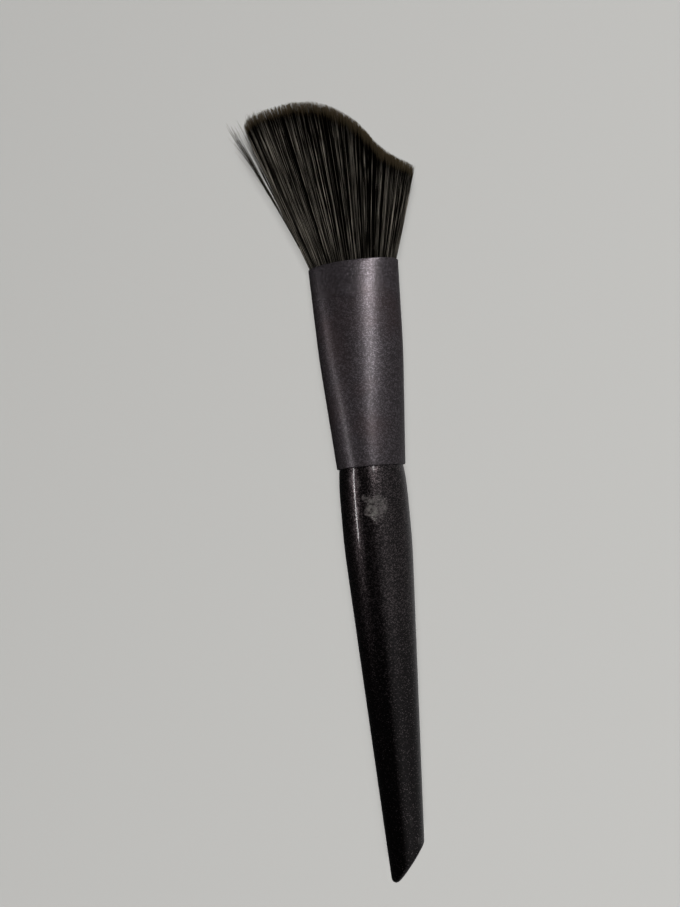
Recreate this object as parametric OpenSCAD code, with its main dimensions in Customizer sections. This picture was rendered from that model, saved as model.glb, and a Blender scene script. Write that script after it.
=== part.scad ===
// Contour makeup brush, lying flat with its bristles towards +Y.
// The brush is drawn along its own axis: x across the flat head, y along the axis from the
// ferrule's lower edge towards the bristles, z through the head's thickness. lay_down() then
// moves it so that it rests on the ground with its box centred on the origin.

/* [Handle] */
// Length of the handle from the ferrule's lower edge to the tip of the tail
handle_len = 87.7; // [75:0.1:110]
// Diameter of the belly, the widest band of the handle
belly_d = 14.8; // [14.6:0.05:15.4]
// Distance from the ferrule's lower edge to the near end of the belly band
belly_start = 8; // [5:0.5:12]
// Length of the belly band, up to the middle of the rounding behind it
belly_len = 9.4; // [5:0.2:14]
// Length over which the belly rounds into the taper
belly_round = 8; // [2:0.5:9]
// Diameter of the tapered tail, measured at the tip
tail_d = 7.1; // [6:0.1:9]
// Angle between the slanted end and the handle's axis
cut_angle = 38; // [33:1:60]
// Turn of the slanted end about the axis, out of the plane of the flat head
cut_turn = 6; // [-20:1:20]
// Radius that rounds the edge of the slanted end
cut_round = 0.9; // [0.4:0.1:1.5]
// Length of the tenon that the ferrule is pressed over
tenon_len = 14; // [8:0.5:18]
// Chamfer on the handle's shoulder, under the ferrule's edge
shoulder_chamfer = 0.12; // [0.05:0.01:0.2]

/* [Ferrule] */
// Outer diameter of the round tube that the ferrule is pressed from
tube_d = 14.95; // [14.7:0.05:15.5]
// Thickness of the metal
ferrule_wall = 0.4; // [0.3:0.05:0.6]
// Length of the ferrule
ferrule_len = 45; // [38:0.5:55]
// Outer width of the pressed mouth
mouth_w = 20.15; // [18.5:0.05:21]
// Outer width at the knee, where the taper becomes gentler
knee_w = 18.75; // [17.5:0.05:19.2]
// Distance from the lower edge to the knee
knee_at = 25; // [20:0.5:30]
// Length over which the knee is rounded
knee_round = 8; // [3:0.5:10]
// How far the ferrule's lower edge stands proud of the handle
edge_step = 0.32; // [0.1:0.02:0.36]
// Radius that rounds the ferrule's two edges
edge_round = 0.13; // [0.05:0.01:0.14]
// Gap between the ferrule and what is fitted inside it
fit_gap = 0.06; // [0.04:0.01:0.1]

/* [Bristles] */
// Distance from the ferrule's lower edge to the crest of the head
crest_at = 81.6; // [72:0.2:92]
// Sideways place of the crest
crest_x = -10.7; // [-13:0.1:-8]
// Radius of the crest towards the low corner
crest_r = 20.4; // [18:0.1:23]
// Radius of the crest towards the high corner
crest_back_r = 38; // [22:0.5:50]
// Radius of the hollow between the crest and the low corner
hollow_r = 18; // [15:0.5:24]
// Steepest slope of the head between the crest and the hollow
flank_angle = 57; // [50:0.5:60]
// Sideways lean of the middle of the fan
fan_lean = -2.2; // [-4:0.1:1]
// Lean that the outermost bristles have beyond that, on either side
fan_spread = 17.6; // [12:0.1:19]
// Lean of the outermost bristles through the head's thickness
thick_spread = 6.2; // [3:0.1:6.6]
// Fall of the head from its middle line to its two faces
face_fall = 3; // [1.5:0.1:4]
// Fall of the head at its two corners
corner_fall = 0.9; // [0.6:0.1:2.5]
// Depth to which the bristles are set in the ferrule
root_depth = 14; // [10:0.5:16]
// Length of the adhesive below the roots
glue_len = 7; // [4:0.5:9]
// Number of locks that the bristles clump into around the head
lock_n = 54; // [36:2:64]
// Depth of the grooves between the locks at their tips
lock_depth = 0.55; // [0.2:0.05:0.8]
// How much shorter the head is in the grooves between the locks
lock_notch = 0.9; // [0.3:0.1:1.4]

/* [Stray bristles] */
// Number of strands that splay out beside the high corner
stray_n = 7; // [4:1:8]
// Thickness of a strand at its root
stray_d = 0.26; // [0.2:0.02:0.3]
// Thickness of a strand at its tip
stray_tip_d = 0.14; // [0.1:0.02:0.18]
// How far the outermost strand's tip stands off the head
stray_splay = 3.7; // [2:0.1:4.5]
// Gap between a strand and the head where it leaves it
stray_gap = 0.12; // [0.08:0.01:0.2]

/* [Hidden] */

tube_r = tube_d / 2;
belly_r = belly_d / 2;
neck_r = tube_r - edge_step;
belly_end = belly_start + belly_len;
tail_r = tail_d / 2;
handle_sides = 78;
turn_steps = 6;
tenon_chamfer = 1;
cut_balls = 28;
ball_sides = 24;
mouth_y = ferrule_len;
root_y = mouth_y - root_depth;
glue_y = root_y - glue_len;

// Steps of the lofts: points around the ferrule and around the head, and levels along the ferrule,
// which the bristles inside it share
ferrule_sides = 72;
ferrule_angles = [for (i = [0:ferrule_sides - 1]) 360 * i / ferrule_sides];
knee_end = knee_at + knee_round / 2;
low_steps = 6;
low_levels = [for (i = [1:low_steps]) knee_end * i / low_steps];
high_steps = 3;
high_part = ferrule_len - edge_round - knee_end;
high_levels = [for (i = [1:high_steps]) knee_end + high_part * i / high_steps];
ferrule_levels = concat([0, edge_round], low_levels, high_levels, [ferrule_len]);
head_sides = lock_n * 4;
head_rows = 6;

// Rounds that the searches for a half thickness and for a place on a curve go through
search_rounds = 20;
settle_rounds = 12;

// How far past a bend t is, with the bend rounded over a length
function past_bend(t, length) =
    abs(t) >= length / 2 ? max(t, 0) : pow(t + length / 2, 2) / (2 * length);

// Radius of the handle at a distance behind the ferrule's edge
taper = (belly_r - tail_r) / (handle_len - belly_end);
function handle_r(d) =
    d < belly_start ? neck_r + (belly_r - neck_r) * sin(90 * d / belly_start) :
    belly_r - taper * past_bend(d - belly_end, belly_round);

// Half width of the ferrule: two straight tapers with a rounded knee between them
slope_low = (knee_w / 2 - tube_r) / knee_at;
slope_high = (mouth_w - knee_w) / 2 / (ferrule_len - knee_at);
function half_w(y) =
    tube_r + slope_low * y + (slope_high - slope_low) * past_bend(y - knee_at, knee_round);

// Half thickness of the ferrule: pressing it flat keeps the round tube's perimeter
function perimeter(a, b) = PI * (3 * (a + b) - sqrt((3 * a + b) * (a + 3 * b)));
function solve_b(a, goal, lo, hi, n) =
    let (mid = (lo + hi) / 2)
    n == 0 ? mid :
    perimeter(a, mid) > goal ? solve_b(a, goal, lo, mid, n - 1) : solve_b(a, goal, mid, hi, n - 1);
function half_t(y) =
    let (a = half_w(y))
    solve_b(a, perimeter(tube_r, tube_r), tube_r / 4, a, search_rounds);

// An oval ring at height y, set in from the ferrule's outer face by inset
function oval(y, inset, angles) =
    let (a = half_w(y) - inset, b = half_t(y) - inset)
    [for (t = angles) [a * cos(t), y, b * sin(t)]];

// Faces of a stack of rings with the same number of points, closed or open at its ends
function band(k, sides) = [for (i = [0:sides - 1]) let (j = (i + 1) % sides)
    [k * sides + i, k * sides + j, (k + 1) * sides + j, (k + 1) * sides + i]];
function bands(n, sides) = [for (k = [0:n - 2]) each band(k, sides)];

module lofted(rings) {
    sides = len(rings[0]);
    n = len(rings);
    first_cap = [for (i = [sides - 1:-1:0]) i];
    last_cap = [for (i = [0:sides - 1]) (n - 1) * sides + i];
    faces = concat([first_cap], bands(n, sides), [last_cap]);
    polyhedron([for (r = rings) each r], faces, convexity = 4);
}

// The head's outline along its width: a crest with two radii, a straight-sided flank and a hollow
flank_x = crest_x + crest_r * sin(flank_angle);
flank_y = crest_at - crest_r * (1 - cos(flank_angle));
function head_y(x) =
    x < crest_x ? crest_at - crest_back_r + sqrt(pow(crest_back_r, 2) - pow(x - crest_x, 2)) :
    x < flank_x ? crest_at - crest_r + sqrt(pow(crest_r, 2) - pow(x - crest_x, 2)) :
    let (mid_x = flank_x + hollow_r * sin(flank_angle), mid_y = flank_y + hollow_r * cos(flank_angle))
    mid_y - sqrt(pow(hollow_r, 2) - pow(min(x, mid_x) - mid_x, 2));

// Places on one bristle, given by p = [share of the mouth's radius, angle, depth of its groove]
root_a = half_w(mouth_y) - ferrule_wall - fit_gap;
root_b = half_t(mouth_y) - ferrule_wall - fit_gap;
function root_x(p) = p[0] * root_a * cos(p[1]);
function root_z(p) = p[0] * root_b * sin(p[1]);
function lean_x(p) = tan(fan_lean + fan_spread * p[0] * cos(p[1]));
function lean_z(p) = tan(thick_spread * p[0] * sin(p[1]));
fall_bow = 2.5;
function fall(p) =
    let (full = corner_fall + (face_fall - corner_fall) * pow(sin(p[1]), 2), r = min(p[0], 1))
    full * (1 - pow(1 - pow(r, fall_bow), 1 / fall_bow));
function tip_y(p, y, n) = n == 0 ? y :
    tip_y(p, head_y(root_x(p) + (y - mouth_y) * lean_x(p)) - fall(p) - lock_notch * p[2], n - 1);

// Place on the bristle p at a share u of its free length
function bristle(p, u) =
    let (reach = u * (tip_y(p, head_y(root_x(p)), settle_rounds) - mouth_y),
         inward = 1 - u * lock_depth * p[2] / root_a,
         x = root_x(p) + reach * lean_x(p),
         z = root_z(p) + reach * lean_z(p))
    [x * inward, mouth_y + reach, z * inward];

// Steps around the head are spread evenly along its long oval, and the locks wander so that
// no two are equally wide
oval_spread = 14;
lock_wander = 28;
lock_waver = 19;
function around(i) = let (t = 360 * i / head_sides) t + oval_spread * sin(2 * t);
function groove(i) =
    let (t = 360 * i / head_sides,
         wave = lock_n / 2 * t + lock_wander * sin(3 * t) + lock_waver * cos(7 * t))
    pow(1 - abs(sin(wave)), 2);
head_angles = [for (i = [0:head_sides - 1]) around(i)];
head_steps = [0.12, 0.3, 0.5, 0.7, 0.86, 1];
root_levels = concat([root_y], [for (y = ferrule_levels) if (y > root_y) y]);
head_rings = concat(
    [for (y = root_levels) oval(y, ferrule_wall + fit_gap, head_angles)],
    [for (u = head_steps) [for (i = [0:head_sides - 1]) bristle([1, around(i), groove(i)], u)]]);

// The end of the head is a ladder of rows from one face to the other, each at one place across
half_sides = head_sides / 2;
function row_place(i, j) =
    let (t = around(i), side = 1 - 2 * j / head_rows, x = cos(t), z = sin(t) * side)
    [norm([x, z]), atan2(z, x), pow(abs(side), 3) * groove(side > 0 ? i : head_sides - i)];
ladder = [for (i = [1:half_sides - 1]) for (j = [1:head_rows - 1]) bristle(row_place(i, j), 1)];
rim_at = (len(head_rings) - 1) * head_sides;
ladder_at = len(head_rings) * head_sides;
function rung(i, j) =
    i == 0 ? rim_at :
    i == half_sides ? rim_at + half_sides :
    j == 0 ? rim_at + i :
    j == head_rows ? rim_at + head_sides - i :
    ladder_at + (i - 1) * (head_rows - 1) + j - 1;
ladder_faces = [for (i = [0:half_sides - 1]) for (j = [0:head_rows - 1])
    i == 0 ? [rung(0, 0), rung(1, j), rung(1, j + 1)] :
    i == half_sides - 1 ? [rung(i, j), rung(i + 1, 0), rung(i, j + 1)] :
    [rung(i, j), rung(i + 1, j), rung(i + 1, j + 1), rung(i, j + 1)]];

// Strands beside the high corner: each leaves the head's edge and bows outward to its tip
stray_sides = 6;
stray_steps = 9;
// Part of the mouth's oval that the strands leave from, and the share of a bristle where they start
stray_arc = 42;
stray_from = 0.16;
// How sharply a strand bows out, how far the strands differ in length and in splay, and the
// turns that set those apart from one strand to the next
stray_bow = 1.15;
stray_uneven = 0.08;
stray_fan = 0.5;
length_turn = 137;
splay_turn = 64;
function stray_path(k, u) =
    let (side = 180 + stray_arc * (k / (stray_n - 1) - 0.5),
         steep = [cos(side) / root_a, sin(side) / root_b],
         away = steep / norm(steep) * (stray_gap + stray_d / 2),
         reach = u * (1 + stray_uneven * (sin(length_turn * k) - 0.5)),
         splay = stray_splay * (1 - stray_fan * pow(sin(splay_turn * k), 2)) * pow(u, stray_bow),
         edge = bristle([1, side, 0], stray_from + (1 - stray_from) * reach))
    [edge[0] + away[0] - splay, edge[1], edge[2] + away[1]];
function stray_r(u) = (stray_d + (stray_tip_d - stray_d) * u) / 2;
function stray_ring(k, s) =
    let (u = s / stray_steps, c = stray_path(k, u), r = stray_r(u))
    [for (i = [0:stray_sides - 1])
        let (t = 360 * i / stray_sides)
        [c[0] + r * cos(t), c[1], c[2] + r * sin(t)]];
strays = [for (k = [0:stray_n - 1]) [for (s = [0:stray_steps]) stray_ring(k, s)]];

// Extent of the whole brush, which sets how it lies
head_points = [for (r = head_rings) each r];
stray_points = [for (s = strays) for (r = s) each r];
low_x = min([for (p = stray_points) p[0]]);
high_x = max([for (p = head_points) p[0]]);
high_y = max(max([for (p = ladder) p[1]]), max([for (p = stray_points) p[1]]));
rest_z = max(tube_r, belly_r, max([for (p = head_points) p[2]]));

module lay_down() {
    translate([-(low_x + high_x) / 2, (handle_len - high_y) / 2, rest_z]) children();
}

// Centres of the balls that round the rim of the slanted end: t turns from the cut's near side
cut_slope = 1 / tan(cut_angle);
tip_ball_d = handle_len - cut_round;
tip_ball_r = handle_r(tip_ball_d) - cut_round;
function ball_d(t, d, n) = n == 0 ? d :
    ball_d(t, tip_ball_d - cut_slope * ((handle_r(d) - cut_round) * cos(t) + tip_ball_r), n - 1);
function ball(t) =
    let (d = ball_d(t, tip_ball_d, settle_rounds), r = handle_r(d) - cut_round)
    [r * cos(t + cut_turn), -d, r * sin(t + cut_turn)];
// How far the slanted end's hull starts ahead of the cut, how far the turned body runs on inside
// it, and the thickness of the disc that the hull starts from
tail_lead = 1;
tail_seat = 0.5;
tail_disc = 0.01;
tail_from = -ball(0)[1] - cut_round - tail_lead;

module handle() {
    tenon_tip_r = half_t(tenon_len) - ferrule_wall - fit_gap;
    tenon_r = tube_r - ferrule_wall - fit_gap;
    steps = turn_steps;
    profile = concat(
        [[0, tenon_len], [tenon_tip_r - tenon_chamfer, tenon_len]],
        [[tenon_tip_r, tenon_len - tenon_chamfer], [tenon_r, 0]],
        [[neck_r - shoulder_chamfer, 0], [neck_r, -shoulder_chamfer]],
        [for (i = [1:steps]) let (d = belly_start * i / steps) [handle_r(d), -d]],
        [for (i = [0:steps]) let (d = belly_end + belly_round * (i / steps - 0.5)) [handle_r(d), -d]],
        [[handle_r(tail_from), -tail_from]],
        [[handle_r(tail_from) - tail_seat, -tail_from - tail_seat], [0, -tail_from - tail_seat]]);
    color([0.12, 0.1, 0.1])
    lay_down()
    union() {
        rotate([-90, 0, 0]) rotate_extrude($fn = handle_sides) polygon(profile);
        hull() {
            translate([0, -tail_from, 0])
                rotate([90, 0, 0])
                cylinder(h = tail_disc, r = handle_r(tail_from), $fn = handle_sides);
            for (i = [0:cut_balls - 1])
                translate(ball(360 * i / cut_balls))
                sphere(cut_round, $fn = ball_sides);
        }
    }
}

module ferrule() {
    n = len(ferrule_levels);
    function rolled(i) = i == 0 || i == n - 1 ? edge_round : 0;
    outer = [for (i = [0:n - 1]) oval(ferrule_levels[i], rolled(i), ferrule_angles)];
    inner = [for (i = [n - 1:-1:0]) oval(ferrule_levels[i], ferrule_wall - rolled(i), ferrule_angles)];
    rings = concat(outer, inner);
    last = (2 * n - 1) * ferrule_sides;
    closing = [for (i = [0:ferrule_sides - 1])
        let (j = (i + 1) % ferrule_sides)
        [last + i, last + j, j, i]];
    color([0.24, 0.2, 0.22])
    lay_down()
    polyhedron([for (r = rings) each r], concat(bands(2 * n, ferrule_sides), closing), convexity = 6);
}

module root_adhesive() {
    levels = concat([glue_y], [for (y = ferrule_levels) if (y > glue_y && y < root_y) y], [root_y]);
    color([0.76, 0.7, 0.52])
    lay_down()
    lofted([for (y = levels) oval(y, ferrule_wall + fit_gap, ferrule_angles)]);
}

module bristle_bundle() {
    root_cap = [for (i = [head_sides - 1:-1:0]) i];
    color([0.1, 0.085, 0.07])
    lay_down()
    polyhedron(
        concat(head_points, ladder),
        concat([root_cap], bands(len(head_rings), head_sides), ladder_faces),
        convexity = 8);
}

module stray_bristles() {
    color([0.16, 0.14, 0.12])
    lay_down()
    for (rings = strays) lofted(rings);
}

handle();
ferrule();
root_adhesive();
bristle_bundle();
stray_bristles();
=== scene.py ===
"""Looks of the contour makeup brush: lacquered handle, satin ferrule and thousands of separate bristles."""
import math

import bpy
import numpy as np
from mathutils import Matrix, Vector


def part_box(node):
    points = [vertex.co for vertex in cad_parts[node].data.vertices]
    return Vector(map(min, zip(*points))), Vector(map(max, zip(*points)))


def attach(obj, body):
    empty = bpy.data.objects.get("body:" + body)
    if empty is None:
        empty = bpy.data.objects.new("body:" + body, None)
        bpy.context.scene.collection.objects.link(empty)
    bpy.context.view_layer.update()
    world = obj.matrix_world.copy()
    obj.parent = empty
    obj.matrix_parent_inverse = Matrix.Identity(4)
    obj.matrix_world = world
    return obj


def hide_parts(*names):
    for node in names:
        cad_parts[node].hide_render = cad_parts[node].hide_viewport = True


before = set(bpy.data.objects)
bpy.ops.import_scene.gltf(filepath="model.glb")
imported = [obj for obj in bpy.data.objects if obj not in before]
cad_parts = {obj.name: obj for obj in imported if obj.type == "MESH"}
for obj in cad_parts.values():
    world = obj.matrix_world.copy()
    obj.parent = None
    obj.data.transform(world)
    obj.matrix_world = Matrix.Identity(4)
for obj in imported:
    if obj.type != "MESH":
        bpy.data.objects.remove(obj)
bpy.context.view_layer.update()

# Shapes are worked out in millimetres, in the brush's own frame: x across the flat head, y along the
# axis from the ferrule's lower edge towards the bristles, z up. placed() takes them to the row frame.
MM = 0.001
FULL_TURN = 2 * math.pi
ferrule_low, ferrule_high = (np.array(corner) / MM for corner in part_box("ferrule"))
handle_low = np.array(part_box("handle")[0]) / MM
JOINT = (ferrule_low + ferrule_high) / 2
JOINT[1] = ferrule_low[1]
HANDLE_LEN = JOINT[1] - handle_low[1]
FERRULE_LEN = ferrule_high[1] - ferrule_low[1]
MOUTH_W = ferrule_high[0] - ferrule_low[0]

# Handle
BELLY_R = 7.4
BELLY_START = 8.0
BELLY_END = 17.4
BELLY_ROUND = 8.0
TAIL_R = 3.55
CUT_ANGLE = 38.0
CUT_TURN = 6.0
CUT_ROUND = 0.9
TENON_LEN = 14.0
TENON_CHAMFER = 1.0
SHOULDER_IN = 0.19
SHOULDER_LEN = 4.5

# Ferrule
TUBE_R = 7.475
WALL = 0.4
KNEE_W = 18.75
KNEE_AT = 25.0
KNEE_ROUND = 8.0
EDGE_STEP = 0.32
EDGE_ROUND = 0.13
FIT_GAP = 0.06

# Head. The finest ends reach EDGE_OUT past the solid's outline, so that the tuft looks as full as it.
EDGE_OUT = 0.25
CREST_AT = 81.9 + EDGE_OUT
CREST_X = -11.24
CREST_R = 21.05 + EDGE_OUT
CREST_BACK_R = 28.0 + EDGE_OUT
HOLLOW_R = 15.7 - EDGE_OUT
FLANK_ANGLE = math.radians(57)
FAN_LEAN = math.radians(-1.95)
FAN_SPREAD = math.radians(17.85)
THICK_SPREAD = math.radians(6.2)
FACE_FALL = 3.0
CORNER_FALL = 0.6
# How sharply the ends fall away towards the rim of the tuft
FALL_BOW = 2.5

# Points around each ring of the handle and the ferrule, and around each ring of the core
SIDES = 160
CORE_SIDES = 96
FLOOR_Z = 0.02 - JOINT[2]

# Rounds of the three searches: for the ferrule's thickness, along the slanted cut, and for a fibre's reach
THICKNESS_ROUNDS = 30
CUT_ROUNDS = 20
REACH_ROUNDS = 12


def placed(points):
    """Points of the brush's own frame, in millimetres, as points of the row frame, in metres."""
    return (np.asarray(points, float) + JOINT) * MM


def ease(t):
    u = np.clip(t, 0, 1)
    return u * u * (3 - 2 * u)


def past_bend(t, length):
    """How far past a bend t is, with the bend rounded over a length."""
    rounded = (t + length / 2) ** 2 / (2 * length)
    return np.where(np.abs(t) >= length / 2, np.maximum(t, 0), rounded)


def chained(*spans):
    """Places through spans that follow on each other, each given by its ends and its number of places."""
    return np.concatenate([spans[0][:1]] + [np.linspace(*span)[1:] for span in spans])


def grid_faces(rows, columns):
    """Quads between rows of points that each close on themselves."""
    row, column = np.meshgrid(np.arange(rows - 1), np.arange(columns), indexing="ij")
    right = (column + 1) % columns
    quads = [row * columns + column, row * columns + right,
             (row + 1) * columns + right, (row + 1) * columns + column]
    return np.stack([q.ravel() for q in quads], 1)


def closed_faces(rows, columns, order=1):
    """Quads between such rows, and fans to the two points after them. An order of -1 turns all faces."""
    column = np.arange(columns)
    after = (column + 1) % columns
    last = (rows - 1) * columns
    first_end, last_end = (np.full(columns, rows * columns + end) for end in (0, 1))
    fans = np.concatenate([np.stack([after, column, first_end], 1),
                           np.stack([last + column, last + after, last_end], 1)])
    return grid_faces(rows, columns)[:, ::order].tolist() + fans[:, ::order].tolist()


def linked(name, data):
    """A new object in the scene."""
    made = bpy.data.objects.new(name, data)
    bpy.context.scene.collection.objects.link(made)
    return made


def riding(name, mesh):
    """A piece from a mesh, riding on the brush's one body."""
    piece = linked(name, mesh)
    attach(piece, "root")
    return piece


def new_piece(name, points, faces, material, sharp=None):
    """A smooth-shaded piece from points in the brush's frame."""
    mesh = bpy.data.meshes.new(name)
    mesh.from_pydata(placed(points).tolist(), [], [list(map(int, face)) for face in faces])
    mesh.polygons.foreach_set("use_smooth", np.ones(len(mesh.polygons), bool))
    if sharp is not None:
        mesh.set_sharp_from_angle(angle=math.radians(sharp))
    mesh.materials.append(material)
    mesh.validate()
    return riding(name, mesh)


# Materials

# Stops of the colour ramps, and single colours, all linear
METAL_TONES = ((0.0, (0.062, 0.053, 0.057)), (0.6, (0.098, 0.084, 0.092)), (1.0, (0.20, 0.175, 0.195)))
METAL_CLOUD = (0.098, 0.064, 0.066)
LACQUER_TONES = ((0.0, (0.018, 0.014, 0.015)), (0.6, (0.060, 0.048, 0.050)), (1.0, (0.33, 0.275, 0.285)))
WORN_TONE = (0.150, 0.141, 0.132)
ADHESIVE_TONES = ((0.3, (0.45, 0.36, 0.2)), (0.7, (0.62, 0.54, 0.36)))
FIBRE_DARK = (0.0015, 0.0012, 0.0009)
# The colour that the painted glints bring to the fibres: a painted highlight
FIBRE_PAINTED_GLINT = (0.49, 0.44, 0.365)
FIBRE_TIP = (0.12, 0.09, 0.052)

# Cells and clouds per metre
METAL_CELLS = 4700
METAL_CLOUDS = 110
FLAKE_CELLS = 5600
RAGGED_CLOUDS = 620
POWDER_CLOUDS = 1500
ADHESIVE_CLOUDS = 240

# The satin's roughness at two heights on the ferrule, with an even change between them
SATIN_ROUGH = (KNEE_AT - 12, 0.4)
SATIN_SMOOTH = (FERRULE_LEN - 5, 0.26)
# Down the handle from the second of these two places to the first, the flakes thin out and dim, which paints
# shade
# onto the tail: their strengths are raised to a power that rises from 1 to the power below
TAIL_SHADE_FROM, TAIL_SHADE_TO = -60, -30
TAIL_SHADE_POWER = 5

# Spots: place and radii in the brush's frame. The heart of the powdery patch has more powder than its
# rim. The smaller marks beside it and the scuffs at the tail also have a strength.
PATCH = ((0.9, -8.7, 7.3), (2.3, 2.8, 3.0))
PATCH_HEART = ((-0.4, -9.6, 7.3), (1.9, 2.3, 3.0))
RIM_POWDER = 0.62
SMALL_SPOTS = (((-1.5, -6.5, 7.3), (0.55, 0.65, 1.2), 0.6),
               ((-2.3, -3.5, 7.1), (0.5, 0.9, 1.2), 0.2),
               ((1.9, -73.6, 3.4), (0.35, 1.5, 1.5), 0.3),
               ((3.1, -78.3, 2.3), (0.45, 0.9, 1.5), 0.35))
# How far noise moves a spot's edge, and the shares of its radii between which the spot fades in
SPOT_WAVE = 0.45
SPOT_FADE = (1.1, 0.75)

# A fibre's map: half of a strand's width on it, how often the painted glints (highlights painted into the
# fibre's colour) change across and along it, and the shares of the way to the tip where the painted glints
# end and the clear brown tip begins
MAP_HALF_WIDTH = 0.0015
GLINT_CHANGES = (300, 5.5, 0)
GLINT_ENDS = (0.965, 0.87)
TIP_BAND_FROM = 0.94
# The painted glints are half as strong at the ferrule's mouth, which paints shade there, and full from this
# far above it
GLINT_FULL_FROM = 9


def new_material(name, **shader_values):
    """A material with its Principled shader's sockets set, with its node tree and that shader."""
    material = bpy.data.materials.new(name)
    material.use_nodes = True
    tree = material.node_tree
    shader = tree.nodes["Principled BSDF"]
    for socket, value in shader_values.items():
        shader.inputs[socket.replace("_", " ")].default_value = value
    return material, tree, shader


def add(tree, kind, links=None, **values):
    """Adds a node. Values set its properties or its input sockets, and links feed its inputs."""
    node = tree.nodes.new("ShaderNode" + kind)
    for name, value in values.items():
        if hasattr(node, name):
            setattr(node, name, value)
        else:
            node.inputs[name.replace("_", " ")].default_value = value
    for socket, source in (links or {}).items():
        tree.links.new(source, node.inputs[socket])
    return node


def feed(node, socket, value):
    """Feeds a node's input from another node's output, or sets it to a number or a colour."""
    if hasattr(value, "links"):
        node.id_data.links.new(value, node.inputs[socket])
    else:
        node.inputs[socket].default_value = (*value, 1) if isinstance(value, tuple) else value


def object_place(tree):
    return add(tree, "TexCoord").outputs["Object"]


def axis_of(tree, vector, axis):
    return add(tree, "SeparateXYZ", {"Vector": vector}).outputs[axis]


def row_y(y):
    """The row frame's y, in metres, of a y of the brush's frame."""
    return placed((0, y, 0))[1]


def noise(tree, vector, scale, detail=2.0, roughness=0.5):
    return add(tree, "TexNoise", {"Vector": vector}, Scale=scale, Detail=detail,
               Roughness=roughness).outputs["Fac"]


def cell_strengths(tree, vector, scale):
    """A random strength for each cell of a fine grain."""
    cells = add(tree, "TexVoronoi", {"Vector": vector}, Scale=scale).outputs["Color"]
    return add(tree, "SeparateColor", {"Color": cells}).outputs["Red"]


def ramp(tree, factor, stops):
    """A colour ramp. Each stop is a place and a colour, or a place and a grey."""
    node = add(tree, "ValToRGB", {"Fac": factor})
    elements = node.color_ramp.elements
    while len(elements) < len(stops):
        elements.new(0.5)
    for element, (place, colour) in zip(elements, stops):
        rgb = colour if isinstance(colour, tuple) else (colour,) * 3
        element.position = place
        element.color = (*rgb, 1)
    return node.outputs["Color"]


def remap(tree, value, low, high, to_low, to_high):
    return add(tree, "MapRange", {"Value": value}, From_Min=low, From_Max=high,
               To_Min=to_low, To_Max=to_high).outputs["Result"]


def mix_colour(tree, factor, a, b):
    node = add(tree, "Mix", data_type="RGBA")
    for socket, value in ((0, factor), (6, a), (7, b)):
        feed(node, socket, value)
    return node.outputs[2]


def math_node(tree, operation, a, b):
    node = add(tree, "Math", operation=operation)
    feed(node, 0, a)
    feed(node, 1, b)
    return node.outputs[0]


def vector_node(tree, operation, vector, constant, output="Vector"):
    node = add(tree, "VectorMath", {0: vector}, operation=operation)
    node.inputs[1].default_value = constant
    return node.outputs[output]


def bump(tree, shader, height, strength, depth_mm):
    node = add(tree, "Bump", {"Height": height}, Strength=strength, Distance=depth_mm * MM)
    tree.links.new(node.outputs["Normal"], shader.inputs["Normal"])
    return node.outputs["Normal"]


def ferrule_material():
    """Aubergine-grey satin metal with a fine cast grain and faint warmer clouds."""
    material, tree, shader = new_material("ferrule_satin", Metallic=0.75, Coat_Weight=0.3,
                                          Coat_Roughness=0.24)
    place = object_place(tree)
    (rough_y, rough), (smooth_y, smooth) = SATIN_ROUGH, SATIN_SMOOTH
    roughness = remap(tree, axis_of(tree, place, "Y"), row_y(rough_y), row_y(smooth_y), rough, smooth)
    tree.links.new(roughness, shader.inputs["Roughness"])
    grain = cell_strengths(tree, place, METAL_CELLS)
    clouds = remap(tree, noise(tree, place, METAL_CLOUDS), 0.45, 0.75, 0, 0.5)
    tree.links.new(mix_colour(tree, clouds, ramp(tree, grain, METAL_TONES), METAL_CLOUD),
                   shader.inputs["Base Color"])
    normal = bump(tree, shader, grain, 0.45, 0.012)
    tree.links.new(normal, shader.inputs["Coat Normal"])
    return material


def spot_mask(tree, place, centre, radii, ragged):
    """A soft ragged spot around a point of the brush's frame."""
    from_centre = vector_node(tree, "SUBTRACT", place, placed(centre))
    scaled = vector_node(tree, "DIVIDE", from_centre, [r * MM for r in radii])
    reach = add(tree, "VectorMath", {0: scaled}, operation="LENGTH").outputs["Value"]
    wavy = math_node(tree, "ADD", reach, remap(tree, ragged, 0.2, 0.8, -SPOT_WAVE, SPOT_WAVE))
    return remap(tree, wavy, *SPOT_FADE, 0, 1)


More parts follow.
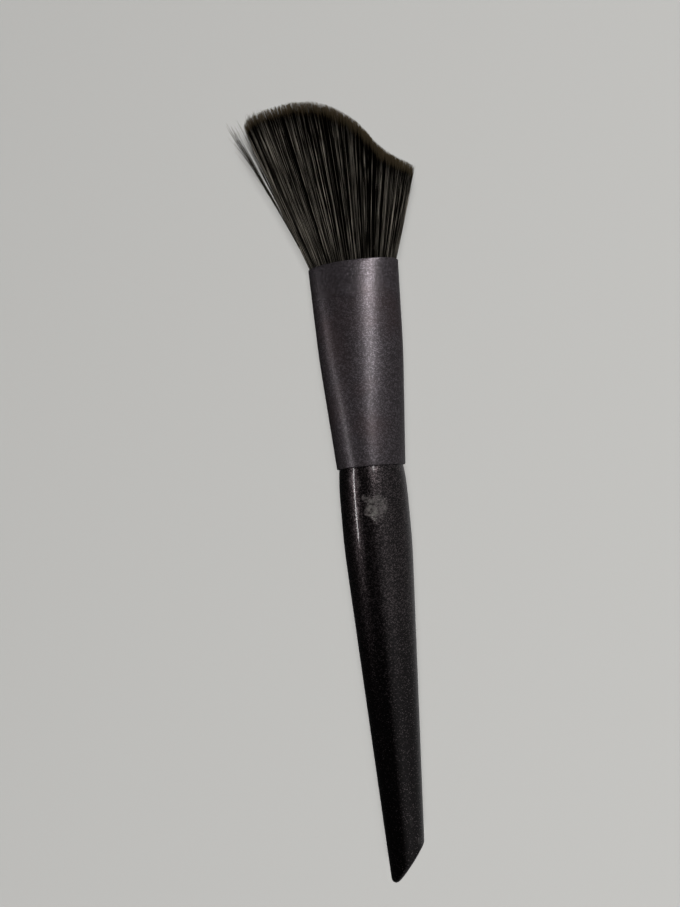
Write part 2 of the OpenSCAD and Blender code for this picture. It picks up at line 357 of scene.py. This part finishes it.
def handle_material():
    """Near-black lacquer with metal flake under a clear coat, and the worn powdery patch."""
    material, tree, shader = new_material("handle_lacquer", Coat_Weight=1.0, Coat_Roughness=0.08,
                                          Coat_IOR=1.5)
    place = object_place(tree)
    # Painted shade: the flakes fade towards the tail, darkening it
    power = remap(tree, axis_of(tree, place, "Y"), row_y(TAIL_SHADE_FROM), row_y(TAIL_SHADE_TO), TAIL_SHADE_POWER, 1)
    flake = math_node(tree, "POWER", cell_strengths(tree, place, FLAKE_CELLS), power)
    tone = ramp(tree, flake, LACQUER_TONES)
    ragged = noise(tree, place, RAGGED_CLOUDS, detail=4, roughness=0.6)
    powder = noise(tree, place, POWDER_CLOUDS, detail=3, roughness=0.65)
    heart = spot_mask(tree, place, *PATCH_HEART, ragged)
    worn = math_node(tree, "MULTIPLY", spot_mask(tree, place, *PATCH, ragged),
                     remap(tree, heart, 0, 1, RIM_POWDER, 1.0))
    for centre, radii, strength in SMALL_SPOTS:
        small = math_node(tree, "MULTIPLY", spot_mask(tree, place, centre, radii, ragged), strength)
        worn = math_node(tree, "MAXIMUM", worn, small)
    worn = math_node(tree, "MULTIPLY", worn, remap(tree, powder, 0.36, 0.60, 0.2, 1.0))
    tree.links.new(mix_colour(tree, worn, tone, WORN_TONE), shader.inputs["Base Color"])
    tree.links.new(remap(tree, worn, 0, 1, 1.0, 0.1), shader.inputs["Metallic"])
    tree.links.new(remap(tree, worn, 0, 1, 0.32, 0.75), shader.inputs["Roughness"])
    bump(tree, shader, flake, 0.2, 0.01)
    return material


def adhesive_material():
    """Cured amber adhesive with slow cloudy streaks."""
    material, tree, shader = new_material("root_adhesive", Roughness=0.5)
    clouds = noise(tree, object_place(tree), ADHESIVE_CLOUDS, detail=4)
    tree.links.new(ramp(tree, clouds, ADHESIVE_TONES), shader.inputs["Base Color"])
    bump(tree, shader, clouds, 0.3, 0.2)
    return material


def bristle_material():
    """Dark synthetic fibre with highlights painted into its colour as glints. Across its map runs the
    strength of a strand's painted glints, and along it the way to the tip.
    """
    # The fibres' shine is painted into the base colour as glints, so the shader's own specular stays off
    material, tree, shader = new_material("bristle_fibre", Roughness=0.45, Specular_IOR_Level=0.0)
    strand = add(tree, "UVMap", uv_map="OFBake").outputs["UV"]
    glint_strength, way = axis_of(tree, strand, "X"), axis_of(tree, strand, "Y")
    stretched = vector_node(tree, "MULTIPLY", strand, GLINT_CHANGES)
    glint = remap(tree, noise(tree, stretched, 1, detail=1.5), 0.40, 0.66, 0.04, 1)
    along = axis_of(tree, object_place(tree), "Y")
    mouth_y, full_y = row_y(FERRULE_LEN), row_y(FERRULE_LEN + GLINT_FULL_FROM)
    for share in (remap(tree, along, mouth_y, full_y, 0.5, 1),
                  remap(tree, way, *GLINT_ENDS, 0.08, 1),
                  remap(tree, glint_strength, 0.15, 1.0, 0, 1)):
        glint = math_node(tree, "MULTIPLY", glint, share)
    tip = remap(tree, way, TIP_BAND_FROM, 1.0, 0, 1)
    fibre = mix_colour(tree, glint, FIBRE_DARK, FIBRE_PAINTED_GLINT)
    tree.links.new(mix_colour(tree, tip, fibre, FIBRE_TIP), shader.inputs["Base Color"])
    return material


# Handle and ferrule

def handle_r(d):
    """Radius of the handle at distances d behind the ferrule's lower edge."""
    neck_r = TUBE_R - EDGE_STEP
    taper = (BELLY_R - TAIL_R) / (HANDLE_LEN - BELLY_END)
    swell = neck_r + (BELLY_R - neck_r) * np.sin(np.pi / 2 * np.minimum(d, BELLY_START) / BELLY_START)
    swell = swell - SHOULDER_IN * np.maximum(1 - d / SHOULDER_LEN, 0) ** 2
    return np.where(d < BELLY_START, swell, BELLY_R - taper * past_bend(d - BELLY_END, BELLY_ROUND))


def perimeter(a, b):
    """Perimeter of an ellipse, by Ramanujan's formula."""
    return math.pi * (3 * (a + b) - np.sqrt((3 * a + b) * (a + 3 * b)))


def half_w(y):
    """Half width of the ferrule: two straight tapers with a rounded knee between them."""
    slope_low = (KNEE_W / 2 - TUBE_R) / KNEE_AT
    slope_high = (MOUTH_W - KNEE_W) / 2 / (FERRULE_LEN - KNEE_AT)
    return TUBE_R + slope_low * y + (slope_high - slope_low) * past_bend(y - KNEE_AT, KNEE_ROUND)


def half_t(y):
    """Half thickness of the ferrule: pressing it flat keeps the round tube's perimeter."""
    a = half_w(np.asarray(y, float))
    low, high = np.full_like(a, TUBE_R / 4), a.copy()
    for _ in range(THICKNESS_ROUNDS):
        middle = (low + high) / 2
        wide = perimeter(a, middle) > perimeter(TUBE_R, TUBE_R)
        low, high = np.where(wide, low, middle), np.where(wide, middle, high)
    return (low + high) / 2


def oval_rings(stations, insets):
    """Rings of the ferrule's section at stations along it, each inset from the outside."""
    turn = np.linspace(0, FULL_TURN, SIDES, endpoint=False)
    a, b = half_w(stations) - insets, half_t(stations) - insets
    rings = np.stack([a[:, None] * np.cos(turn), np.repeat(stations[:, None], SIDES, 1),
                      b[:, None] * np.sin(turn)], 2)
    return rings.reshape(-1, 3)


def make_ferrule(material):
    """The pressed tube, with its two edges rolled round."""
    roll = np.linspace(0, math.pi / 2, 5)
    edge_in, edge_at = EDGE_ROUND * (1 - np.sin(roll)), EDGE_ROUND * (1 - np.cos(roll))
    body = np.linspace(EDGE_ROUND, FERRULE_LEN - EDGE_ROUND, 60)[1:-1]
    stations = np.concatenate([edge_at, body, FERRULE_LEN - edge_at[::-1]])
    insets = np.concatenate([edge_in, 0 * body, edge_in[::-1]])
    points = np.concatenate([oval_rings(stations, insets),
                             oval_rings(stations[::-1], WALL - insets[::-1])])
    rows = 2 * len(stations)
    column = np.arange(SIDES)
    after = (column + 1) % SIDES
    last = (rows - 1) * SIDES
    seam = np.stack([last + column, last + after, after, column], 1)
    faces = np.concatenate([grid_faces(rows, SIDES), seam])
    piece = new_piece("ferrule_tube", points, faces, material, sharp=50)
    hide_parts("ferrule")


def make_handle(material):
    """The turned handle with its tenon, and the slanted end with a rounded rim."""
    turn = np.linspace(0, FULL_TURN, SIDES, endpoint=False)
    cut_slope = 1 / math.tan(math.radians(CUT_ANGLE))
    tip_d = HANDLE_LEN - CUT_ROUND
    tip_r = handle_r(tip_d) - CUT_ROUND
    centre_d = np.full(SIDES, tip_d)
    for _ in range(CUT_ROUNDS):
        centre_d = tip_d - cut_slope * ((handle_r(centre_d) - CUT_ROUND) * np.cos(turn) + tip_r)
    rim_r = handle_r(centre_d) - CUT_ROUND
    cut_turn = math.radians(CUT_TURN)
    outward = np.stack([np.cos(turn + cut_turn), 0 * turn, np.sin(turn + cut_turn)], 1)
    centres = outward * rim_r[:, None]
    centres[:, 1] = -centre_d
    slant = np.array([cut_slope * math.cos(cut_turn), -1, cut_slope * math.sin(cut_turn)])
    slant /= np.linalg.norm(slant)

    tail_from = centre_d.min() - CUT_ROUND
    tenon_r = TUBE_R - WALL - FIT_GAP
    tenon_tip_r = float(half_t(TENON_LEN)) - WALL - FIT_GAP
    bend_from, bend_to = BELLY_END - BELLY_ROUND / 2, BELLY_END + BELLY_ROUND / 2
    turned_d = chained((0, SHOULDER_LEN, 8), (SHOULDER_LEN, BELLY_START, 12), (BELLY_START, bend_from, 4),
                       (bend_from, bend_to, 13), (bend_to, tail_from, 24))
    profile = [(tenon_tip_r - TENON_CHAMFER, TENON_LEN), (tenon_tip_r, TENON_LEN - TENON_CHAMFER),
               (tenon_r, 0)]
    profile += [(float(handle_r(d)), -d) for d in turned_d]
    rings = [outward * r + np.array([0, y, 0]) for r, y in profile]
    shares = np.linspace(0, 1, 9)[1:]
    for share in shares:
        d = tail_from + (centre_d - tail_from) * share
        ring = outward * handle_r(d)[:, None]
        ring[:, 1] = -d
        rings.append(ring)
    apart = np.arccos(np.clip(outward @ slant, -1, 1))[:, None]
    for share in shares:
        way = (np.sin((1 - share) * apart) * outward + np.sin(share * apart) * slant) / np.sin(apart)
        rings.append(centres + CUT_ROUND * way)
    rim = centres + CUT_ROUND * slant
    middle = rim.mean(0)
    rings += [middle + (rim - middle) * share for share in (0.97, 0.6, 0.25)]
    points = np.concatenate(rings + [[[0, TENON_LEN, 0], middle]])
    faces = closed_faces(len(rings), SIDES, order=-1)
    piece = new_piece("handle_body", points, faces, material, sharp=40)
    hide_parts("handle")


# Bristles

SEED = 20
LOCKS = 4500
GROUPS = 46
FULL_STRANDS = 6200
TOP_STRANDS = 7200
GLINT_STRANDS = 480
# Strands added at the high and the low corner, where the fan spreads them thinnest
CORNER_STRANDS = (700, 350)
CORNER_WIDTH = 0.35
# The core's share of the tuft and how far inside that it stays, and the shares of the reach where the
# strands and the core start, where the inner tips start and where the core ends
CORE_SHARE = 0.72
CORE_INSET = 0.98
ROOT_FROM = -0.03
INNER_FROM = 0.68
CORE_TO = 0.8

# In millimetres: the radius of a strand, that of one with strong painted glints, the radius at the tip, and
# the length over which a strand grows finer, by FINE_BOW
STRAND_R = 0.058
GLINT_R = (0.036, 0.066)
TIP_R = 0.012
FINE_LEN = 7.0
FINE_BOW = 0.6
STRAND_SIDES = 3
# Rings along each outer strand, each strand with strong painted glints, each inner tip and the core. The
# rings of strands lie closer together towards the tips, by ROW_BOW.
OUTER_ROWS = 10
GLINT_ROWS = 14
INNER_ROWS = 5
CORE_ROWS = 12
ROW_BOW = 0.85
# Each strand's triangle is turned on from the last one's by this share of a turn
SIDE_TURN = 0.618
ROOT_A = float(half_w(FERRULE_LEN)) - WALL - FIT_GAP
ROOT_B = float(half_t(FERRULE_LEN)) - WALL - FIT_GAP
# The length that the map's whole way to the tip stands for
LONGEST = 38.0

# How locks lean and strands stray and bow, as spreads in millimetres across, along and through the head
GROUP_SWAY = (0.24, 0, 0.12)
LOCK_SWAY = (0.22, 0, 0.12)
STRAND_STRAY = (0.13, 0, 0.1)
STRAND_BOW = (0.15, 0, 0.1)
# Sways and strays grow with the way out, to these powers. Locks at the tuft's rim sway by RIM_SWAY of
# their full sway, and locks further in by SWAY_RISE more for each share of the radius.
SWAY_BOW = 1.3
STRAY_BOW = 1.4
RIM_SWAY = 0.25
SWAY_RISE = 2.5
# How far locks and their groups are moved from an even spread, each over the root of their number
LOCK_JITTER = 0.25
GROUP_JITTER = 0.3
# How firmly locks draw their strands in, and the share of the reach where the grip is full
LOCK_PULL = (0.1, 0.4)
GRIP_FULL_AT = 0.9
# How much shorter locks (a mean) and strands (a spread) end, in millimetres. Locks beyond CORNER_FROM
# towards the high corner are longer instead, and their strands end raggedly.
LOCK_SHORTER = 0.04
END_SPREAD = 0.3
CORNER_FROM = 0.6
CORNER_LONGER = 0.7
CORNER_BOW = 0.8
CORNER_RAGGED = 0.5
CORNER_MOST = 1.7
# Most locks get almost no painted glints: the strength of their painted highlights is a random share to this
# power, times their group's strength, and the strands of one lock differ by SHADE_SPREAD
SHADE_POWER = 6
GROUP_SHADE = (0.15, 0.65)
SHADE_SPREAD = 0.003
# The strands with strong painted glints are painted this bright at least, and few are much brighter
GLINT_SHADE = 0.25
GLINT_POWER = 1.4


def head_y(x):
    """Height of the head's outline above the joint: a crest of two radii, a flank and a hollow."""
    flank_x = CREST_X + CREST_R * math.sin(FLANK_ANGLE)
    flank_y = CREST_AT - CREST_R * (1 - math.cos(FLANK_ANGLE))
    hollow_x = flank_x + HOLLOW_R * math.sin(FLANK_ANGLE)
    hollow_y = flank_y + HOLLOW_R * math.cos(FLANK_ANGLE)
    radius = np.where(x < CREST_X, CREST_BACK_R, CREST_R)
    crest = CREST_AT - radius + np.sqrt(np.maximum(radius ** 2 - (x - CREST_X) ** 2, 0))
    hollow = hollow_y - np.sqrt(HOLLOW_R ** 2 - (np.clip(x, flank_x, hollow_x) - hollow_x) ** 2)
    return np.where(x < flank_x, crest, hollow)


class Fibres:
    """Straight fibres from the ferrule's mouth, by their places in its oval as shares of the radii."""

    def __init__(self, across, through):
        share = np.minimum(np.hypot(across, through), 1)
        side = np.where(share > 0, np.abs(through) / np.maximum(share, 1e-6), 0)
        self.root = np.stack([across * ROOT_A, 0 * across, through * ROOT_B], 1)
        self.lean_x = np.tan(FAN_LEAN + FAN_SPREAD * across)
        self.lean_z = np.tan(THICK_SPREAD * through)
        fall = CORNER_FALL + (FACE_FALL - CORNER_FALL) * side ** 2
        self.drop = fall * (1 - (1 - share ** FALL_BOW) ** (1 / FALL_BOW))
        self.reach = head_y(self.root[:, 0]) - FERRULE_LEN
        for _ in range(REACH_ROUNDS):
            self.reach = head_y(self.root[:, 0] + self.reach * self.lean_x) - self.drop - FERRULE_LEN

    def at(self, u):
        """Points at shares u of the reach. u is one row of shares for each fibre."""
        along = self.reach[:, None] * u
        return np.stack([self.root[:, :1] + along * self.lean_x[:, None],
                         FERRULE_LEN + along,
                         self.root[:, 2:] + along * self.lean_z[:, None]], 2)


def on_disc(share, turn):
    return np.stack([share * np.cos(turn), share * np.sin(turn)], 1)


def sunflower(count, jitter, random):
    """Places spread evenly over the unit disc, each moved a little."""
    order = np.arange(count) + 0.5
    places = on_disc(np.sqrt(order / count), order * math.pi * (3 - math.sqrt(5)))
    places += random.normal(0, jitter / math.sqrt(count), places.shape)
    far = np.maximum(np.hypot(*places.T), 1)
    return places / far[:, None]


def nearest(places, centres, batch=1000):
    """The nearest centre to each place, found in batches to spare memory."""
    found = [((places[start:start + batch, None] - centres[None]) ** 2).sum(2).argmin(1)
             for start in range(0, len(places), batch)]
    return np.concatenate(found)


def tube_points(paths, radii):
    """Rings of points around paths, kept above the floor."""
    tangent = np.gradient(paths, axis=1)
    tangent /= np.linalg.norm(tangent, axis=2, keepdims=True)
    first = np.cross(tangent, [0, 0, 1.0])
    first /= np.linalg.norm(first, axis=2, keepdims=True)
    second = np.cross(first, tangent)
    offset = np.modf(np.arange(len(paths)) * SIDE_TURN)[0] * FULL_TURN
    points = np.empty((*paths.shape[:2], STRAND_SIDES, 3))
    for side in range(STRAND_SIDES):
        turn = (offset + FULL_TURN * side / STRAND_SIDES)[:, None, None]
        points[:, :, side] = paths + radii[:, :, None] * (np.cos(turn) * first + np.sin(turn) * second)
    points[..., 2] = np.maximum(points[..., 2], FLOOR_Z)
    return points


def tube_faces(count, steps):
    """Quads along each tube, and the triangles that close its two ends."""
    strand, step, side = np.meshgrid(np.arange(count), np.arange(steps - 1), np.arange(STRAND_SIDES),
                                     indexing="ij")
    ring = (strand * steps + step) * STRAND_SIDES
    after = (side + 1) % STRAND_SIDES
    quads = np.stack([ring + side, ring + STRAND_SIDES + side, ring + STRAND_SIDES + after, ring + after], 3)
    first_ring = np.arange(count)[:, None] * steps * STRAND_SIDES + np.arange(STRAND_SIDES)
    caps = np.concatenate([first_ring, first_ring[:, ::-1] + (steps - 1) * STRAND_SIDES])
    return quads.reshape(-1, 4), caps


def strand_mesh(name, paths, radii, glint_strengths, ways, material):
    """Thin closed tubes along paths. Their map has the strength of a strand's painted glints across and its
    way to the tip along.
    """
    count, steps = paths.shape[:2]
    quads, caps = tube_faces(count, steps)
    corners = np.concatenate([quads.ravel(), caps.ravel()]).astype(np.int32)
    starts = np.concatenate([np.arange(len(quads)) * 4, len(quads) * 4 + np.arange(len(caps)) * 3])
    mesh = bpy.data.meshes.new(name)
    mesh.vertices.add(count * steps * STRAND_SIDES)
    points = placed(tube_points(paths, radii).reshape(-1, 3))
    mesh.vertices.foreach_set("co", points.ravel().astype(np.float32))
    mesh.loops.add(len(corners))
    mesh.loops.foreach_set("vertex_index", corners)
    mesh.polygons.add(len(starts))
    mesh.polygons.foreach_set("loop_start", starts.astype(np.int32))
    mesh.polygons.foreach_set("use_smooth", np.ones(len(starts), bool))
    mesh.update(calc_edges=True)

    width = np.linspace(-1, 1, STRAND_SIDES) * MAP_HALF_WIDTH
    u = np.clip(glint_strengths, MAP_HALF_WIDTH, 1 - MAP_HALF_WIDTH)[:, None, None] + width
    u = np.broadcast_to(u, (count, steps, STRAND_SIDES))
    v = np.broadcast_to(ways[:, :, None], u.shape)
    at_points = np.stack([u, v], 3).reshape(-1, 2)
    layer = mesh.uv_layers.new(name="OFBake")
    layer.data.foreach_set("uv", at_points[corners].ravel().astype(np.float32))
    mesh.materials.append(material)
    mesh.validate()
    return riding(name, mesh)


class Locks:
    """The locks that fibres clump into, each with a lean, a length and a strength of painted glints of its
    own.
    """

    def __init__(self, random):
        self.places = sunflower(LOCKS, LOCK_JITTER, random)
        self.pull = random.uniform(*LOCK_PULL, LOCKS)
        self.corner = ease((-self.places[:, 0] - CORNER_FROM) / (1 - CORNER_FROM))
        group = nearest(self.places, sunflower(GROUPS, GROUP_JITTER, random))
        group_sway = random.normal(0, 1, (GROUPS, 3)) * GROUP_SWAY
        self.sway = random.normal(0, 1, (LOCKS, 3)) * LOCK_SWAY + group_sway[group]
        self.shorter = random.exponential(LOCK_SHORTER, LOCKS) - CORNER_LONGER * self.corner ** CORNER_BOW
        glint_strength = random.uniform(0, 1, LOCKS) ** SHADE_POWER
        self.tone = glint_strength * random.uniform(*GROUP_SHADE, GROUPS)[group]


def grow(places, start, steps, locks, random, radius=STRAND_R):
    """Paths of strands that are drawn towards their locks as they go out, with radii, painted glint
    strengths and ways.
    """
    count = len(places)
    radius = np.broadcast_to(radius, count)[:, None]
    fibres = Fibres(*places.T)
    lock = nearest(places, locks.places)
    u = np.tile(start + (1 - start) * np.linspace(0, 1, steps) ** ROW_BOW, (count, 1))
    grip = (locks.pull[lock][:, None] * ease(u / GRIP_FULL_AT))[:, :, None]
    paths = fibres.at(u) * (1 - grip) + Fibres(*locks.places[lock].T).at(u) * grip
    away = np.maximum(u, 0)[:, :, None]
    inside = np.maximum(1 - np.hypot(*places.T), 0)[:, None, None]
    sway_share = np.minimum(RIM_SWAY + SWAY_RISE * inside, 1)
    paths += locks.sway[lock][:, None] * away ** SWAY_BOW * sway_share
    strays = random.normal(0, 1, (count, 3)) * STRAND_STRAY
    paths += strays[:, None] * away ** STRAY_BOW
    bow = random.normal(0, 1, (count, 3)) * STRAND_BOW
    paths += bow[:, None] * np.sin(np.pi * away)
    shorter = locks.shorter[lock] + np.abs(random.normal(0, END_SPREAD, count))
    shorter -= np.minimum(random.exponential(CORNER_RAGGED, count), CORNER_MOST) * locks.corner[lock]
    reach = head_y(paths[:, -1, 0]) - fibres.drop - FERRULE_LEN - shorter
    paths[..., 1] = FERRULE_LEN + reach[:, None] * u
    from_tip = reach[:, None] * (1 - u)
    ways = 1 - np.clip(from_tip / LONGEST, 0, 1)
    radii = TIP_R + (radius - TIP_R) * np.clip(from_tip / FINE_LEN, 0, 1) ** FINE_BOW
    glint_strengths = np.clip(locks.tone[lock] + random.normal(0, SHADE_SPREAD, count), 0, 1)
    return paths, radii, glint_strengths, ways


def make_bristles(material):
    """Strands around the outside in four pieces by the way they face, ones with strong painted glints, and
    inner tips.
    """
    random = np.random.default_rng(SEED)
    locks = Locks(random)
    turn = np.concatenate([random.uniform(0, FULL_TURN, FULL_STRANDS),
                           random.normal(math.pi, CORNER_WIDTH, CORNER_STRANDS[0]),
                           random.normal(0, CORNER_WIDTH, CORNER_STRANDS[1]) % FULL_TURN])
    share = np.sqrt(random.uniform(CORE_SHARE ** 2, 1, len(turn)))
    strands = grow(on_disc(share, turn), ROOT_FROM, OUTER_ROWS, locks, random)
    quarter = (turn / (math.pi / 2)).astype(int)
    pieces = [strand_mesh("bristles_" + name, *(part[quarter == index] for part in strands), material)
              for index, name in enumerate(("upper_right", "upper_left", "lower_left", "lower_right"))]
    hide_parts("bristle_bundle")

    turn = random.uniform(0, FULL_TURN, GLINT_STRANDS)
    paths, radii, _, ways = grow(on_disc(1, turn), ROOT_FROM, GLINT_ROWS, locks, random,
                                 random.uniform(*GLINT_R, GLINT_STRANDS))
    # These strands get strong highlights painted into their colour
    glint_strengths = GLINT_SHADE + (1 - GLINT_SHADE) * random.uniform(0, 1, GLINT_STRANDS) ** GLINT_POWER
    strand_mesh("bristles_painted_glints", paths, radii, glint_strengths, ways, material)

    share = np.sqrt(random.uniform(0, CORE_SHARE ** 2, TOP_STRANDS))
    turn = random.uniform(0, FULL_TURN, TOP_STRANDS)
    strands = grow(on_disc(share, turn), INNER_FROM, INNER_ROWS, locks, random)
    strand_mesh("bristles_inner_tips", *strands, material)


def make_core(material):
    """The close-packed fibres inside the head, as one dark body below the tips."""
    turn = np.linspace(0, FULL_TURN, CORE_SIDES, endpoint=False)
    shell = Fibres(*on_disc(CORE_SHARE * CORE_INSET, turn).T)
    rings = [shell.at(np.full((CORE_SIDES, 1), u))[:, 0]
             for u in np.linspace(ROOT_FROM, CORE_TO, CORE_ROWS)]
    points = np.concatenate(rings + [[rings[0].mean(0), rings[-1].mean(0)]])
    new_piece("bristle_core", points, closed_faces(len(rings), CORE_SIDES), material)


# Loose strands: how many, the side of the mouth they leave from and how widely around it in degrees,
# how far they stand off the head, how far their tips fan out, how sharply they bow out, and their length
LOOSE = ((36, 180, 9, 2.6, 0.6, 1.15, 1.02),
         (12, 180, 10, 3.5, 0.5, 1.9, 0.95),
         (26, 180, 16, 0.7, 0.5, 1.4, 1.0),
         (9, 0, 25, 0.55, 0.25, 2.0, 0.98))
# The share of the reach where they part from the head, their gap there in millimetres and their radius
LOOSE_FROM = 0.16
LOOSE_GAP = 0.12
LOOSE_R = 0.034
LOOSE_ROWS = 22
# No tip fans out further than this many times its family's spread, and the fanning starts late
FAN_LIMIT = 1.6
FAN_BOW = 2.2
# Spreads of their lengths, as shares of the reach, and of their leans through the head, in millimetres
LENGTH_SPREAD = 0.035
THROUGH_SPREAD = 0.25
# The range of the loose strands' painted glint strengths
LOOSE_SHADE = (0.1, 0.75)


def make_strays(material):
    """The wisp that splays out beside the high corner, and a few loose hairs at the other."""
    random = np.random.default_rng(SEED + 1)
    families = np.repeat(np.array(LOOSE)[:, 1:], [family[0] for family in LOOSE], axis=0)
    side, around, splay, fan, bow, long = families.T
    count = len(families)
    side = np.radians(side + around * random.uniform(-1, 1, count))
    fan = fan * np.clip(random.normal(0, 1, count), -FAN_LIMIT, FAN_LIMIT)
    long = long + random.normal(0, LENGTH_SPREAD, count)
    outward = np.sign(np.cos(side))[:, None]
    t = np.linspace(0, 1, LOOSE_ROWS)
    u = LOOSE_FROM + (long[:, None] - LOOSE_FROM) * t
    fibres = Fibres(*on_disc(1, side).T)
    paths = fibres.at(u)
    splayed = splay[:, None] * t ** bow[:, None] + fan[:, None] * t ** FAN_BOW
    paths[..., 0] += outward * (LOOSE_GAP + splayed)
    paths[..., 2] += random.normal(0, THROUGH_SPREAD, count)[:, None] * u
    from_tip = fibres.reach[:, None] * (long[:, None] - u)
    radii = TIP_R + (LOOSE_R - TIP_R) * np.clip(from_tip / FINE_LEN, 0, 1)
    ways = 1 - np.clip(from_tip / LONGEST, 0, 1)
    glint_strengths = random.uniform(*LOOSE_SHADE, count)
    piece = strand_mesh("stray_wisp", paths, radii, glint_strengths, ways, material)
    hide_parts("stray_bristles")


# Camera, light and floor

# The camera as it was fitted to the ferrule's two rims: where the joint shows in the picture and how far
# off it is in millimetres, and how the brush is turned before the camera
FOCAL_PX = 700.0
IMAGE_W, IMAGE_H = 680, 907
JOINT_PX = (371.2, 467.0)
JOINT_DEPTH = 152.946
TILT = math.radians(5.064)
LEAN = math.radians(3.5)
ROLL = math.radians(7.716)
SENSOR_MM = 36.0

# Soft boxes: place, what they point at and size, in metres, and power in watts
SOFT_BOXES = (("key", (0.2, 0.32, 0.58), (0.0, 0.02, 0.01), (0.11, 0.36), 0.76),
              ("left_strip", (-0.5, 0.05, 0.29), (0, 0.03, 0.01), (0.22, 0.03), 0.24))
# Where the daylight comes from, its power and the width of its disc
DAYLIGHT_FROM = (0.12, -0.12, 1.18)
DAYLIGHT_POWER = 2.45
DAYLIGHT_ANGLE = math.radians(24)
BACKDROP = (0.52, 0.515, 0.50)
# What the gloss mirrors, from the room's dark left side to its right
ROOM_TONES = ((0.0, 0.008), (0.44, 0.014), (0.56, 0.10), (0.75, 0.19), (1.0, 0.11))
# The floor grows lighter along this direction, from FLOOR_FADE behind the origin to as far beyond it: a
# painted fall-off of light
FLOOR_SLANT = (1, -0.5, 0)
FLOOR_FADE = 0.2
FLOOR_TONES = ((0.0, (0.298, 0.295, 0.285)), (1.0, (0.382, 0.378, 0.366)))
FLOOR_REACH = 4.0


def make_camera():
    """The camera, from where the joint shows in the picture and how the brush is turned before it."""
    axis = Vector((-math.sin(TILT) * math.cos(LEAN), -math.cos(TILT) * math.cos(LEAN), math.sin(LEAN)))
    level = Vector((math.cos(TILT), -math.sin(TILT), 0))
    facing = level.cross(axis)
    across = math.cos(ROLL) * level + math.sin(ROLL) * facing
    upward = math.cos(ROLL) * facing - math.sin(ROLL) * level
    to_row = Matrix((across, axis, upward))
    seen = Vector(((JOINT_PX[0] - IMAGE_W / 2) / FOCAL_PX, (JOINT_PX[1] - IMAGE_H / 2) / FOCAL_PX, 1))
    place = Vector(JOINT) - to_row @ (seen * JOINT_DEPTH)
    turned = to_row @ Matrix.Diagonal((1, -1, -1))
    data = bpy.data.cameras.new("camera")
    data.sensor_width = SENSOR_MM
    data.lens = FOCAL_PX / IMAGE_H * SENSOR_MM
    data.clip_start = 0.01
    camera = linked("camera", data)
    camera.matrix_world = Matrix.Translation(place * MM) @ turned.to_4x4()
    bpy.context.scene.camera = camera


def add_light(name, kind, place, target, power):
    light = linked(name, bpy.data.lights.new(name, kind))
    light.data.energy = power
    light.location = place
    light.rotation_euler = (Vector(target) - Vector(place)).to_track_quat("-Z", "Y").to_euler()
    light.visible_camera = False
    return light


def mirror_light(name, place, target, size, power):
    """A soft box that shows in gloss and satin alone."""
    light = add_light(name, "AREA", place, target, power)
    light.data.shape = "RECTANGLE"
    light.data.size, light.data.size_y = size
    light.visible_diffuse = False


def daylight(name):
    """Broad even daylight that shows in no reflection."""
    light = add_light(name, "SUN", DAYLIGHT_FROM, (0, 0, 0), DAYLIGHT_POWER)
    light.data.angle = DAYLIGHT_ANGLE
    light.visible_glossy = False
    return light


def make_floor():
    material, tree, shader = new_material("pale_floor", Roughness=0.9, Specular_IOR_Level=0.1)
    # The slant paints a fall-off of light into the floor's colour
    slant = vector_node(tree, "DOT_PRODUCT", object_place(tree), FLOOR_SLANT, "Value")
    tree.links.new(ramp(tree, remap(tree, slant, -FLOOR_FADE, FLOOR_FADE, 0, 1), FLOOR_TONES),
                   shader.inputs["Base Color"])
    mesh = bpy.data.meshes.new("floor")
    corners = [(x * FLOOR_REACH, y * FLOOR_REACH, 0) for x, y in ((-1, -1), (1, -1), (1, 1), (-1, 1))]
    mesh.from_pydata(corners, [], [(0, 1, 2, 3)])
    mesh.materials.append(material)
    floor = linked("floor", mesh)
    floor.visible_glossy = False
    return floor


def make_light(floor):
    world = bpy.data.worlds.new("world")
    world.use_nodes = True
    tree = world.node_tree
    sideways = axis_of(tree, add(tree, "TexCoord").outputs["Generated"], "X")
    room = ramp(tree, remap(tree, sideways, -1, 1, 0, 1), ROOM_TONES)
    seen = add(tree, "LightPath").outputs["Is Camera Ray"]
    tree.links.new(mix_colour(tree, seen, room, BACKDROP), tree.nodes["Background"].inputs["Color"])
    bpy.context.scene.world = world
    world.cycles_visibility.diffuse = False
    for soft_box in SOFT_BOXES:
        mirror_light(*soft_box)
    daylight("fill")
    # Half of the floor's light leaves no shadow under the brush, which the photograph doesn't show
    floor_alone = bpy.data.collections.new("floor_alone")
    floor_alone.objects.link(floor)
    glow = daylight("floor_light")
    glow.light_linking.receiver_collection = floor_alone
    glow.light_linking.blocker_collection = floor_alone


bpy.context.scene.view_settings.view_transform = "Standard"
make_camera()
make_light(make_floor())
ferrule_metal = ferrule_material()
bristle_fibre = bristle_material()
make_ferrule(ferrule_metal)
make_handle(handle_material())
make_core(bristle_fibre)
make_bristles(bristle_fibre)
make_strays(bristle_fibre)
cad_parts["root_adhesive"].material_slots[0].material = adhesive_material()
